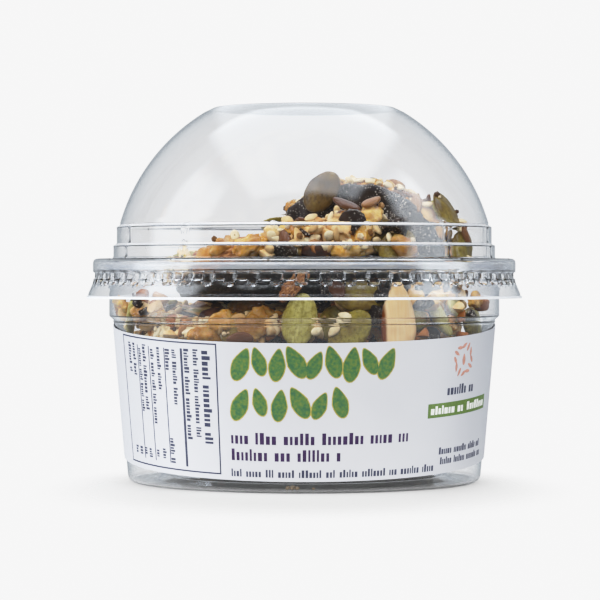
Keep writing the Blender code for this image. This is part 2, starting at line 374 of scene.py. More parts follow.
def thicken(wall, thickness, bend_angle):
    """Gives the sheet its thickness on the inner side and shades it."""
    modified(wall, "SOLIDIFY", thickness=thickness * MM, offset=-1, use_even_offset=True)
    wall.select_set(True)
    bpy.ops.object.shade_smooth_by_angle(angle=math.radians(bend_angle))


def ramp_of(tree, value, stops):
    """A colour ramp over value. stops are (place, (r, g, b))."""
    made = node_in(tree, "ShaderNodeValToRGB", Fac=value)
    while len(made.color_ramp.elements) < len(stops):
        made.color_ramp.elements.new(0.5)
    for element, (place, colour) in zip(made.color_ramp.elements, stops):
        element.position = place
        element.color = (*colour, 1)
    return made.outputs["Color"]


def noise_on(tree, scale, detail, at=None):
    """A cloudy pattern over a piece, or over other coordinates."""
    spot = spot_on(tree) if at is None else at
    return node_in(tree, "ShaderNodeTexNoise", Vector=spot, Scale=scale, Detail=detail).outputs["Fac"]


def see_through(shader, clearness):
    """Makes a shader the clear plastic of the sheet."""
    shader.inputs["IOR"].default_value = 1.5
    shader.inputs["Transmission Weight"].default_value = clearness


def let_light_in(tree, shader):
    """Shadow rays pass straight through, so that the lamps light what is inside."""
    ray = node_in(tree, "ShaderNodeLightPath").outputs["Is Shadow Ray"]
    passing = node_in(tree, "ShaderNodeBsdfTransparent", Color=(0.96, 0.965, 0.97, 1)).outputs[0]
    mixed = either_of(tree, ray, shader.outputs[0], passing)
    tree.links.new(mixed, tree.nodes["Material Output"].inputs["Surface"])


def painted_highlight(name, clearness, roughness):
    """The same plastic with a painted highlight: partly a white haze, in fine streaks, for the light
    caught where the sheet bends.
    """
    finish, tree, shader = new_finish(name, roughness)
    stretch = node_in(tree, "ShaderNodeMapping", Vector=spot_on(tree), Scale=(120.0, 120.0, 1800.0))
    lines = noise_on(tree, 1.0, 2.0, stretch.outputs[0])
    shade = ramp_of(tree, lines, [(0.3, (0.70, 0.75, 0.84)), (0.6, (0.93, 0.95, 0.98))])
    tree.links.new(shade, shader.inputs["Base Color"])
    see_through(shader, clearness)
    let_light_in(tree, shader)
    return finish


cup_corners = [
    (1.0, 1.6, 0), (33.0, 1.6, 1.0), (35.0, 0.0, 1.0), (41.5, 0.0, 1.9), (44.7, 37.1, 0.3),
    (45.1, 37.5, 0.3), (44.95, 38.0, 0.3), (46.0, 38.9, 0.5), (46.0, 51.05, 0.5),
    (48.45, 51.05, 0.5), (48.45, 49.9, 0),
]
cup = raise_wall("cup_shell", rounded(cup_corners), AROUND)
close_pole(cup, 1.6, -1)
thicken(cup, SHEET, 40)

clear_sheet, tree, shader = new_finish("clear_sheet", 0.0, (0.985, 0.99, 1.0))
see_through(shader, 1.0)
let_light_in(tree, shader)
cup.data.materials.append(clear_sheet)
# The rolled lip's faces get a painted highlight: a white haze for the light its bend catches.
cup.data.materials.append(painted_highlight("rolled_lip_painted_highlight", 0.80, 0.15))
for face in cup.data.polygons:
    x, y, z = face.center / MM
    if z > LIP_FOOT and math.hypot(x, y) > LIP_INSIDE:
        face.material_index = 1
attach(cup, "root")
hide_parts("cup")


# The lid, formed from the same sheet: a ball-shaped dome with a flat crown, two small
# steps, a flange over the cup's lip, a press-on ring of pointed flutes and a flared skirt.
# Small stacking notches break each step. The steps' creases carry a painted highlight, a white
# haze for the light their bends catch, and the rough cut foot is painted pale as a highlight line.
DOME = 45.2
DOME_MIDDLE = 48.3
DOME_FIRST = 58.5
DOME_LAST = 16.0
DOME_STEPS = 30
NOTCHES = 13
NOTCH_TURN = math.radians(-9.5)
NOTCH_LIFT = 0.35
NOTCH_HALF = 0.51
NOTCHED = ((59.3, 60.4), (55.0, 56.0), (52.4, 52.9))
TRIM_TOP = 43.4
CREASE_HIGHLIGHTS = ((59.78, 60.25), (55.38, 55.85))
FLUTE_ROWS = [
    (49.36, 48.85, 0.55, 1.4), (49.38, 48.2, 0.55, 1.4), (49.42, 47.75, 0.55, 1.4),
    (49.72, 47.55, 0.82, 1.4), (49.80, 47.0, 0.88, 1.4), (49.92, 46.45, 0.98, 0.9),
    (49.98, 46.33, 0.0, 0.6), (50.3, 45.6, 0.0, 0.6),
]


def press_columns(wall, height, turn, count, half_columns, inward):
    """Sets the points of one ring in, at evenly spaced columns, by a resize about the axis."""
    pitch = 2 * math.pi / count
    column = 2 * math.pi / AROUND
    reach = 0
    for vertex in wall.data.vertices:
        x, y, z = vertex.co
        off = (math.atan2(x, -y) - turn + pitch / 2) % pitch - pitch / 2
        vertex.select = abs(z - height * MM) < 0.005 * MM and abs(off) < half_columns * column
        if vertex.select:
            reach = math.hypot(x, y)
    bpy.ops.object.mode_set(mode="EDIT")
    squeeze = 1 - inward * MM / reach
    bpy.ops.transform.resize(value=(squeeze, squeeze, 1), center_override=(0, 0, height * MM))
    bpy.ops.mesh.select_all(action="DESELECT")
    bpy.ops.object.mode_set(mode="OBJECT")


lid_course = rounded([(1.0, 88.0, 0), (21.2, 88.0, 1.6), (23.0, 87.1, 0)])[:-1]
for i in range(DOME_STEPS + 1):
    angle = math.radians(DOME_FIRST + (DOME_LAST - DOME_FIRST) * i / DOME_STEPS)
    lid_course.append((DOME * math.cos(angle), DOME_MIDDLE + DOME * math.sin(angle)))
step_corners = [
    (43.4, 60.5, 0), (43.5, 60.2, 0.3), (44.2, 59.85, 0.3), (44.2, 59.0, 0), (44.2, 56.6, 0),
    (44.2, 55.85, 0.2), (45.0, 55.45, 0.2), (45.0, 54.7, 0), (45.0, 53.3, 0), (45.0, 52.4, 0.5),
    (49.85, 52.4, 1.3), (49.8, 49.9, 0.2), (49.8, 49.3, 0.05), (49.4, 49.0, 0),
]
lid_course += rounded(step_corners)
lid_course += [row[:2] for row in FLUTE_ROWS]
lid_course += [(50.85, 44.3), (50.98, 43.7), (51.35, 43.45), (51.35, 43.1)]
lid = raise_wall("lid_shell", lid_course, AROUND)
for _, height, depth, half_columns in FLUTE_ROWS[:-1]:
    press_columns(lid, height, FLUTE_TURN, FLUTES, half_columns, depth)
for _, height in lid_course:
    if any(low < height < high for low, high in NOTCHED):
        press_columns(lid, height, NOTCH_TURN, NOTCHES, NOTCH_HALF, -NOTCH_LIFT)
close_pole(lid, 88.0, 1)
thicken(lid, SHEET, 40)
lid.data.materials.append(clear_sheet)


def coat(tree, shader, shade, height, distance, strength):
    """Gives a shader its colour and, from a height, the small relief of its surface."""
    tree.links.new(shade, shader.inputs["Base Color"])
    bump = node_in(tree, "ShaderNodeBump", Height=height, Distance=distance, Strength=strength)
    tree.links.new(bump.outputs["Normal"], shader.inputs["Normal"])


# The cut foot is rough, and painted pale as the highlight line that runs along its edge.
foot_highlight, tree, shader = new_finish("cut_foot_painted_highlight", 0.55)
burr = noise_on(tree, 900.0, 2.0)
shade = ramp_of(tree, burr, [(0.35, (0.78, 0.82, 0.88)), (0.65, (0.88, 0.91, 0.96))])
coat(tree, shader, shade, burr, 0.00005, 0.5)
let_light_in(tree, shader)
lid.data.materials.append(foot_highlight)
# The creases of the steps get a painted highlight: a white haze for the light their bends catch.
lid.data.materials.append(painted_highlight("crease_painted_highlight", 0.60, 0.20))
for face in lid.data.polygons:
    z = face.center.z / MM
    if z < TRIM_TOP:
        face.material_index = 1
    elif any(low < z < high for low, high in CREASE_HIGHLIGHTS):
        face.material_index = 2
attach(lid, "root")
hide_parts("lid")


# The label, a straight strip of coated paper stuck round the taper. Because the cup
# widens upwards, the strip climbs a little towards its ends, which stay apart at the back.
PAPER_HALF_TURN = 105.0
PAPER_LOW = 2.7
PAPER_TALL = 30.8
PAPER_CLIMB = 3.5
PAPER_LIFT = 0.3
PAPER = 0.15
PAPER_RADIUS = 43.2
TAPER_FOOT = 41.7
TAPER_LOW = 2.5
TAPER_HIGH = 37.2
TAPER_SLOPE = (44.7 - TAPER_FOOT) / (TAPER_HIGH - TAPER_LOW)


def taper(z):
    """The radius of the cup's outside at a height on its taper."""
    return TAPER_FOOT + TAPER_SLOPE * (z - TAPER_LOW)


def stick_on(piece, lift):
    """Wraps a flat piece, drawn in X and Y from the strip's foot, round the cup's taper."""
    for vertex in piece.data.vertices:
        along, tall, over = vertex.co / MM
        turn = along / PAPER_RADIUS
        z = PAPER_LOW + tall + PAPER_CLIMB * (math.degrees(turn) / 90) ** 2
        reach = taper(z) + lift + over
        vertex.co = Vector((reach * math.sin(turn), -reach * math.cos(turn), z)) * MM


half_length = math.radians(PAPER_HALF_TURN) * PAPER_RADIUS
bpy.ops.object.select_all(action="DESELECT")
bpy.ops.mesh.primitive_grid_add(x_subdivisions=210, y_subdivisions=14, size=1)
label = bpy.context.object
label.name = "paper_label"
bpy.ops.object.mode_set(mode="EDIT")
bpy.ops.transform.resize(value=(2 * half_length * MM, PAPER_TALL * MM, 1))
bpy.ops.transform.translate(value=(0, PAPER_TALL / 2 * MM, 0))
bpy.ops.object.mode_set(mode="OBJECT")
stick_on(label, PAPER_LIFT + PAPER)
thicken(label, PAPER, 30)

paper, tree, shader = new_finish("coated_paper", 0.42)
cloud = noise_on(tree, 60.0, 2.0)
shade = ramp_of(tree, cloud, [(0.3, (0.51, 0.525, 0.57)), (0.7, (0.545, 0.56, 0.60))])
coat(tree, shader, shade, noise_on(tree, 900.0, 4.0), 0.00003, 0.5)
label.data.materials.append(paper)
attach(label, "root")
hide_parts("label")


# The print on the paper: two rows of plump green leaves edged in ochre where a title goes,
# rows of short purple and navy strokes that stand for small text, a ruled panel, a wreath
# and a green band. Each ink is printed as its own thin layer.
INK = 0.04
LEAF_POINT = 0.45
stroke_draws = np.random.default_rng(5)


def start_ink(name):
    """An empty mesh, in edit mode, that flat shapes are then added to."""
    bpy.ops.object.select_all(action="DESELECT")
    bpy.ops.mesh.primitive_plane_add(size=1)
    ink = bpy.context.object
    ink.name = name
    bpy.ops.object.mode_set(mode="EDIT")
    bpy.ops.mesh.delete(type="VERT")
    return ink


def bar(left, foot, width, tall):
    """A straight bar, with enough steps along it to follow the curve of the cup."""
    steps = max(1, math.ceil(width / 1.5))
    middle = Vector(((left + width / 2) * MM, (foot + tall / 2) * MM, 0))
    bpy.ops.mesh.primitive_grid_add(x_subdivisions=steps, y_subdivisions=1, size=1, location=middle)
    bpy.ops.transform.resize(value=(width * MM, tall * MM, 1), center_override=middle)


def marks(length, tall, weight, fewest):
    """Small upright strokes in groups, as words stand on a line of this length. Gives where
    each one starts, its width and its height."""
    at = 0.0
    while at < length - 1.0:
        for _ in range(int(stroke_draws.integers(fewest, fewest + 6))):
            wide = weight * tall * stroke_draws.uniform(0.35, 0.75)
            high = tall * (1.0 if stroke_draws.random() < 0.3 else 0.72)
            if at + wide > length:
                return
            yield at, wide, high
            at += wide + 0.17 * tall
        at += 0.5 * tall


def strokes(left, right, foot, tall, weight):
    """A row of strokes on a level line."""
    for at, wide, high in marks(right - left, tall, weight, 3):
        bar(left + at, foot, wide, high)


def upright_strokes(column, low, high, tall):
    """The same, on a line that runs down the panel."""
    for at, wide, reach in marks(high - low, tall, 0.62, 4):
        bar(column, high - at - wide, reach, wide)


def leaf(across, up, long, wide, tilt):
    """A plump pointed leaf that stands at across, up and leans by tilt degrees."""
    middle = Vector((across * MM, up * MM, 0))
    bpy.ops.mesh.primitive_circle_add(vertices=20, radius=0.5 * MM, fill_type="TRIFAN", location=middle)
    bpy.ops.transform.resize(value=(wide, long, 1), center_override=middle)
    shape = bmesh.from_edit_mesh(bpy.context.edit_object.data)
    for vertex in shape.verts:
        if vertex.select:
            above = (vertex.co.y - middle.y) / (long * MM / 2)
            vertex.co.x = middle.x + (vertex.co.x - middle.x) * (1 - LEAF_POINT * max(0.0, above))
    bmesh.update_edit_mesh(bpy.context.edit_object.data)
    bpy.ops.transform.rotate(value=math.radians(tilt), orient_axis="Z", center_override=middle)


def finish_ink(ink, lift, finish):
    """Wraps the shapes round the cup just proud of the paper and gives them a thickness."""
    bpy.ops.object.mode_set(mode="OBJECT")
    stick_on(ink, PAPER_LIFT + PAPER + lift)
    thicken(ink, INK, 30)
    ink.data.materials.append(finish)
    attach(ink, "root")


def ink_finish(name, stops, scale=1400.0, detail=2.0):
    """A printed ink, a little uneven where it soaked into the paper."""
    finish, tree, shader = new_finish(name, 0.45)
    shade = ramp_of(tree, noise_on(tree, scale, detail), stops)
    tree.links.new(shade, shader.inputs["Base Color"])
    return finish


def plain_ink(name, colour):
    """An ink of one colour, lighter in spots."""
    light = tuple(min(1.0, part * 1.4 + 0.008) for part in colour)
    return ink_finish(name, [(0.4, colour), (0.75, light)])


LEAF_ROWS = [(-14.0, 18.4, 9, 26.2, 8.1), (-14.4, 7.8, 6, 17.2, 7.9)]
leaf_places = []
for left, right, count, middle, tall in LEAF_ROWS:
    for i in range(count):
        across = left + (right - left) * i / (count - 1)
        lean = (24, -16, 8, -28)[i % 4]
        size = tall * (1.0, 0.84, 0.94)[i % 3]
        leaf_places.append((across, middle + (0.4 if i % 2 else -0.3), size, lean))

ochre_ink = start_ink("label_leaf_edges")
for across, up, size, lean in leaf_places:
    leaf(across, up, size, 0.52 * size, lean)
finish_ink(ochre_ink, 0.03, plain_ink("ochre_ink", (0.30, 0.25, 0.055)))

green_ink = start_ink("label_leaves")
for across, up, size, lean in leaf_places:
    leaf(across, up, size - 0.5, 0.52 * size - 0.5, lean)
leaf_green = ink_finish(
    "leaf_green_ink",
    [(0.35, (0.030, 0.10, 0.045)), (0.5, (0.058, 0.14, 0.038)), (0.65, (0.105, 0.16, 0.035))],
    1500.0,
    3.0,
)
finish_ink(green_ink, 0.06, leaf_green)

band_ink = start_ink("label_band")
bar(29.9, 12.9, 24.6, 3.2)
finish_ink(band_ink, 0.03, plain_ink("band_green_ink", (0.075, 0.135, 0.020)))

pale_ink = start_ink("label_band_strokes")
strokes(30.8, 42.6, 13.6, 1.9, 0.8)
strokes(44.0, 53.8, 13.6, 1.9, 0.8)
finish_ink(pale_ink, 0.06, plain_ink("pale_ink", (0.72, 0.74, 0.70)))

purple_ink = start_ink("label_purple_strokes")
strokes(-16.8, 25.8, 8.2, 2.6, 0.5)
strokes(-16.8, 8.6, 4.5, 2.6, 0.5)
finish_ink(purple_ink, 0.03, plain_ink("purple_ink", (0.022, 0.007, 0.045)))

navy_ink = start_ink("label_navy_rules")
for left, foot, width, tall in (
    (-51.6, 30.0, 32.0, 0.32), (-51.6, 1.1, 32.0, 0.32), (-19.9, 1.1, 0.32, 29.2),
    (-51.6, 1.1, 0.32, 29.2), (-29.2, 2.2, 0.62, 26.6), (-34.2, 2.6, 0.26, 26.0),
    (-39.6, 2.6, 0.26, 26.0), (-44.2, 2.6, 0.26, 26.0),
):
    bar(left, foot, width, tall)
for line in (
    (-23.4, 7.6, 28.6, 2.1), (-25.7, 8.8, 28.8, 1.35), (-28.2, 7.8, 28.8, 1.35),
    (-31.7, 14.6, 28.4, 1.25), (-33.8, 22.4, 28.4, 1.35), (-33.8, 2.6, 8.2, 1.35),
    (-36.6, 18.4, 28.6, 1.25), (-36.6, 3.0, 5.6, 1.25), (-38.9, 9.6, 28.0, 1.25),
    (-42.0, 13.6, 28.8, 1.35), (-43.7, 12.8, 27.8, 1.1), (-46.4, 20.8, 28.8, 1.3),
    (-48.6, 21.8, 28.8, 1.3),
):
    upright_strokes(*line)
for column in (-38.9, -42.0, -43.9, -46.4, -48.6):
    upright_strokes(column, 2.9, 5.1, 1.2)
strokes(-17.0, 33.0, 0.9, 1.7, 0.5)
strokes(35.8, 46.6, 17.7, 2.2, 0.6)
strokes(34.2, 54.2, 4.4, 1.6, 0.55)
strokes(34.8, 54.4, 2.1, 1.6, 0.55)
finish_ink(navy_ink, 0.03, plain_ink("navy_ink", (0.022, 0.025, 0.055)))

WREATH_LEAVES = 12
WREATH_MIDDLE = (41.2, 25.4)
WREATH_REACH = 3.2
brown_ink = start_ink("label_wreath")
for i in range(WREATH_LEAVES):
    turn = 2 * math.pi * i / WREATH_LEAVES
    across = WREATH_MIDDLE[0] + WREATH_REACH * math.sin(turn)
    up = WREATH_MIDDLE[1] + WREATH_REACH * math.cos(turn)
    leaf(across, up, 2.1, 0.8, 60 - math.degrees(turn))
leaf(*WREATH_MIDDLE, 2.6, 1.2, 0)
finish_ink(brown_ink, 0.03, plain_ink("rose_brown_ink", (0.42, 0.21, 0.16)))


# The cookies. Each is a round of nuts and seeds bound in caramel on a thin base of dark
# chocolate, spread by hand, so that its outline wanders. Six lie in the tub: four stacked,
# one tipped on top of them and one standing at the back with its chocolate side forward.
COOKIES = [
    ((3.0, -9.0, 6.7), (0.0, 0.0, 1.0), 28.0, 10.0),
    ((-8.8, 2.0, 16.2), (0.01, -0.02, 1.0), 27.4, 130.0),
    ((4.4, -11.8, 25.6), (-0.02, -0.03, 1.0), 27.2, 260.0),
    ((-9.6, -8.0, 35.4), (-0.02, 0.01, 1.0), 27.6, 50.0),
    ((-2.0, -13.4, 50.4), (-0.07, 0.19, 0.98), 27.4, 200.0),
    ((14.6, 19.3, 46.4), (0.50, 0.84, 0.21), 26.4, 310.0),
]
CHOCOLATE = 1.9
LAYER_GAP = 0.3
NUTS = 6.3
CHOCOLATE_IN = 0.6
NUTS_IN = 0.5
HALF = (CHOCOLATE + LAYER_GAP + NUTS) / 2
COOKIE_AROUND = 168
STANDING = 6
SWELLS = {
    4: [(12, -24, 8, 0.6), (-14, -25, 9, -2.2), (-14, 12, 11, 3.0), (8, 16, 10, 2.6), (-26, 0, 7, 1.4)],
    5: [(15, -20, 8, 4.2), (-14, -22, 8, -3.6), (4, -14, 9, 1.6), (-22, -10, 9, -3.0)],
}


def stand(centre, facing, turn=0.0):
    """A placing in mm: the middle, the way that the upper side faces, and a turn."""
    swing = Vector((0, 0, 1)).rotation_difference(Vector(facing).normalized())
    spin = Matrix.Rotation(math.radians(turn), 4, "Z")
    return Matrix.Translation(centre) @ swing.to_matrix().to_4x4() @ spin


def outline(angle, turn):
    """How much wider or narrower than round a cookie is at an angle."""
    a = angle + math.radians(turn)
    return 1 + 0.022 * math.sin(2 * a) + 0.016 * math.sin(3 * a + 1) + 0.010 * math.sin(5 * a)


def knead(piece, kind, grain_size, strength, middle=0.5):
    """Pushes the surface in and out by a cloudy or lumpy pattern of one grain size."""
    pattern = bpy.data.textures.new(kind.lower(), kind)
    pattern.noise_scale = grain_size * MM
    if kind == "CLOUDS":
        pattern.noise_depth = 3
    push = strength * MM
    modified(piece, "DISPLACE", texture=pattern, texture_coords="LOCAL", strength=push, mid_level=middle)


def shape_round(name, course, number, swells):
    """A closed round body with the outline of its cookie, refined once."""
    turn = COOKIES[number - 1][-1]
    body = raise_wall(name, course, COOKIE_AROUND)
    modified(body, "SUBSURF", levels=1, render_levels=1)
    fill_rings(all_open=True)
    for vertex in body.data.vertices:
        x, y, z = vertex.co / MM
        share = outline(math.atan2(y, x), turn)
        lift = sum(
            high * math.exp(-((x - sx) ** 2 + (y - sy) ** 2) / spread ** 2)
            for sx, sy, spread, high in swells
        )
        if z > 0:
            z += lift * min(1.0, z / 3)
        vertex.co = Vector((x * share, y * share, z)) * MM
    return body


def settle_in(piece, number):
    """Carries a body from the middle of the room to its cookie's place."""
    place = stand(*COOKIES[number - 1][:2])
    piece.data.transform(Matrix.Scale(MM, 4) @ place @ Matrix.Scale(1 / MM, 4))


def mottle_group():
    """Two scales of noise over the food: a mask for broad patches and a height for grain."""
    group = bpy.data.node_groups.new("food_mottle", "ShaderNodeTree")
    for name, default in (("Patch Scale", 200.0), ("Grain Scale", 1500.0)):
        given = group.interface.new_socket(name, in_out="INPUT", socket_type="NodeSocketFloat")
        given.default_value = default
    group.interface.new_socket("Patches", in_out="OUTPUT", socket_type="NodeSocketFloat")
    group.interface.new_socket("Grain", in_out="OUTPUT", socket_type="NodeSocketFloat")
    given = group.nodes.new("NodeGroupInput")
    spot = node_in(group, "ShaderNodeTexCoord").outputs["Object"]
    patches = node_in(group, "ShaderNodeTexNoise", Vector=spot, Scale=given.outputs[0], Detail=3.0)
    grain = node_in(group, "ShaderNodeTexNoise", Vector=spot, Scale=given.outputs[1], Detail=4.0)
    out = group.nodes.new("NodeGroupOutput")
    group.links.new(patches.outputs["Fac"], out.inputs["Patches"])
    group.links.new(grain.outputs["Fac"], out.inputs["Grain"])
    return group


food_mottle = mottle_group()


def mottle(tree, patch_scale, grain_scale):
    """The mottling in a material, with its own scales. Gives its patches and its grain."""
    made = tree.nodes.new("ShaderNodeGroup")
    made.node_tree = food_mottle
    made.inputs["Patch Scale"].default_value = patch_scale
    made.inputs["Grain Scale"].default_value = grain_scale
    return made.outputs["Patches"], made.outputs["Grain"]


def blended(tree, kind, factor, first, second):
    """Two colours mixed or multiplied. A colour is a socket or (r, g, b)."""
    made = node_in(tree, "ShaderNodeMix", Factor=factor)
    made.data_type = "RGBA"
    made.blend_type = kind
    for socket, given in zip(made.inputs[6:8], (first, second)):
        put(tree, socket, (*given, 1) if isinstance(given, tuple) else given)
    return made.outputs[2]


def shaded(tree, shade, value, stops, factor=1.0):
    """A colour multiplied by a ramp over value."""
    return blended(tree, "MULTIPLY", factor, shade, ramp_of(tree, value, stops))


dark_chocolate, tree, shader = new_finish("dark_chocolate", 0.46)
shader.inputs["Specular IOR Level"].default_value = 0.35
patches, grain = mottle(tree, 160.0, 900.0)
shade = ramp_of(
    tree,
    patches,
    [(0.35, (0.010, 0.007, 0.007)), (0.62, (0.020, 0.012, 0.009)), (0.75, (0.05, 0.026, 0.016))],
)
dust = node_in(tree, "ShaderNodeTexVoronoi", Vector=spot_on(tree), Scale=1600.0)
specks = ramp_of(tree, dust.outputs["Distance"], [(0.16, (1, 1, 1)), (0.38, (0, 0, 0))])
dusted = ramp_of(tree, noise_on(tree, 240.0, 4.0), [(0.36, (0, 0, 0)), (0.54, (1, 1, 1))])
shade = blended(tree, "MIX", maths(tree, "MULTIPLY", specks, dusted), shade, (0.50, 0.45, 0.40))
coat(tree, shader, shade, grain, 0.00012, 0.6)

CHOCOLATE_COURSE = [
    (0.02, -HALF), (0.26, -HALF), (0.50, -HALF), (0.70, -HALF), (0.86, -HALF), (0.93, -HALF),
    (0.965, -HALF + 0.05), (0.985, -HALF + 0.25), (1.0, -HALF + 0.8), (0.998, -HALF + 1.4),
    (0.975, -HALF + CHOCOLATE), (0.80, -HALF + CHOCOLATE), (0.02, -HALF + CHOCOLATE),
]
NUT_FOOT = -HALF + CHOCOLATE + LAYER_GAP
NUT_COURSE = [
    (0.02, NUT_FOOT), (0.80, NUT_FOOT), (0.965, NUT_FOOT), (0.99, NUT_FOOT + 0.7),
    (1.0, NUT_FOOT + 1.6), (1.0, NUT_FOOT + 2.6), (0.985, HALF - 2.2), (0.955, HALF - 1.3),
    (0.91, HALF - 0.7), (0.85, HALF - 0.4), (0.78, HALF - 0.3), (0.70, HALF - 0.2),
    (0.61, HALF - 0.1), (0.51, HALF), (0.40, HALF), (0.28, HALF), (0.15, HALF), (0.03, HALF),
]


def course_for(shares, radius):
    """A course whose radii are given as shares of the cookie's radius."""
    return [(share * radius, height) for share, height in shares]


def show_for(piece, number, layer, finish):
    """Settles a layer in its cookie's place, smooth, in its finish, for its plain solid."""
    settle_in(piece, number)
    piece.select_set(True)
    bpy.ops.object.shade_smooth()
    piece.data.materials.append(finish)
    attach(piece, "root")
    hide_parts(f"cookie_{number}_{layer}")


cores = []
bases = []
for number, (_, _, radius, _) in enumerate(COOKIES, start=1):
    course = course_for(CHOCOLATE_COURSE, radius - CHOCOLATE_IN)
    base = shape_round(f"cookie_{number}_base", course, number, [])
    knead(base, "CLOUDS", 9, 0.9)
    knead(base, "CLOUDS", 2.6, 0.5)
    if number == STANDING:
        knead(base, "CLOUDS", 6, 1.6)
    show_for(base, number, "chocolate", dark_chocolate)
    bases.append(base)


def lit_within(shader, weight, radius, scale=0.001):
    """Lets light a short way into a piece of food."""
    shader.inputs["Subsurface Weight"].default_value = weight
    shader.inputs["Subsurface Radius"].default_value = radius
    shader.inputs["Subsurface Scale"].default_value = scale


caramel, tree, shader = new_finish("nut_caramel", 0.34)
spot = spot_on(tree)
warp = node_in(tree, "ShaderNodeTexNoise", Vector=spot, Scale=420.0, Detail=2.0)
warped = tree.nodes.new("ShaderNodeVectorMath")
warped.operation = "MULTIPLY_ADD"
for socket, given in zip(warped.inputs, (warp.outputs["Color"], (0.0016, 0.0016, 0.0016), spot)):
    put(tree, socket, given)
bits = node_in(tree, "ShaderNodeTexVoronoi", Vector=warped.outputs[0], Scale=290.0)
bit_tone = node_in(tree, "ShaderNodeSeparateColor", Color=bits.outputs["Color"])
shade = ramp_of(
    tree,
    bit_tone.outputs["Red"],
    [
        (0.0, (0.045, 0.018, 0.008)),
        (0.14, (0.20, 0.075, 0.016)),
        (0.30, (0.58, 0.25, 0.040)),
        (0.52, (0.74, 0.39, 0.085)),
        (0.70, (0.82, 0.56, 0.24)),
        (0.88, (0.86, 0.68, 0.42)),
        (1.0, (0.36, 0.30, 0.07)),
    ],
)
# Painted shade: each bit darkens towards its seams, as shade in the crevices between the bits.
painted_seam_shade = [(0.45, (1, 1, 1)), (0.85, (0.42, 0.24, 0.12))]
shade = shaded(tree, shade, bits.outputs["Distance"], painted_seam_shade)
patches, grain = mottle(tree, 500.0, 1600.0)
shade = shaded(tree, shade, patches, [(0.3, (0.74, 0.66, 0.56)), (0.62, (1.0, 1.0, 1.0))])
gloss = node_in(tree, "ShaderNodeMapRange", Value=patches, To_Min=0.22, To_Max=0.55)
tree.links.new(gloss.outputs["Result"], shader.inputs["Roughness"])
lit_within(shader, 0.15, (1.0, 0.5, 0.2))
coat(tree, shader, shade, grain, 0.00025, 0.7)

for number, (_, _, radius, _) in enumerate(COOKIES, start=1):
    course = course_for(NUT_COURSE, radius - NUTS_IN)
    core = shape_round(f"cookie_{number}_caramel", course, number, SWELLS.get(number, []))
    knead(core, "VORONOI", 5.2, -1.7, 0.45)
    knead(core, "CLOUDS", 3.0, 1.1)
    knead(core, "CLOUDS", 0.9, 0.35)
    show_for(core, number, "nuts", caramel)
    cores.append(core)


# The loose-lying parts of the topping, bedded in the caramel. Each kind is modelled once or
# a few times and strewn over the nut sides and rims of all six cookies, in millimetres.
draws = np.random.default_rng(21)
EXPOSED = (5, 6)
OPEN_FROM = 0.05
COVERED_FROM = 0.72
TOPS_TO = 0.97
DROP_FROM = 6
RIM_FROM = 8
BIG = 3
FRONT_LOW = 33
FRONT_FACE = -14
FRONT_TOP = 64
STANDING_TOP = 67
POCKETS = [((32, 84), 13, 31, 43), ((-80, -50), 5, 38.5, 43.5)]
STRAIGHT_WALLS = [(51, 45.5), (60.5, 43.7)]
FLOOR = 2.3
ACROSS_TUB = 60
TRIES = 60
taken = []


def inner_reach(z):
    """How far from the axis the inside of the shut tub is at a height, in mm."""
    if z < TAPER_HIGH:
        return taper(z) - SHEET
    for top, reach in STRAIGHT_WALLS:
        if z < top:
            return reach
    return math.sqrt(max(0.0, (DOME - SHEET) ** 2 - (z - DOME_MIDDLE) ** 2))


places_of_cookies = [stand(*cookie[:2]) for cookie in COOKIES]
ways_back = [placing.inverted() for placing in places_of_cookies]


def tips(placing, half):
    """The six ends of a small piece at a place."""
    for x, y, z in ((1, 0, 0), (-1, 0, 0), (0, 1, 0), (0, -1, 0), (0, 0, 1), (0, 0, -1)):
        yield placing @ Vector((x * half[0], y * half[1], z * half[2]))


def in_tub(placing, half, margin=0.3):
    """Whether a small piece stays inside the plastic."""
    return all(
        point.z > FLOOR and point.xy.length < inner_reach(point.z) - margin
        for point in tips(placing, half)
    )


def fits(placing, half, own):
    """Whether a small piece stays inside the plastic and out of the other cookies."""
    if not in_tub(placing, half):
        return False
    for point in tips(placing, half):
        for number, way_back in enumerate(ways_back, start=1):
            if number == own:
                continue
            inside = way_back @ point
            _, _, radius, turn = COOKIES[number - 1]
            edge = radius * outline(math.atan2(inside.y, inside.x), turn)
            if abs(inside.z) < HALF + 0.1 and inside.xy.length < edge:
                return False
    return True


def landing(surfaces, start, way):
    """Where a line from start first meets one of the surfaces, in mm, with the normal."""
    best = None
    for surface in surfaces:
        met, spot, normal, _ = surface.ray_cast(start * MM, way, distance=ACROSS_TUB * MM)
        if met and (best is None or (spot / MM - start).length < (best[0] - start).length):
            best = (spot / MM, normal)
    return best


def bedded(spot, normal, lean, spin, lift):
    """The placing of a piece that lies on a surface, leaning a little, sunk or lifted."""
    facing = normal + Vector(draws.normal(0, lean, 3))
    return stand(spot + normal * lift, facing, spin)


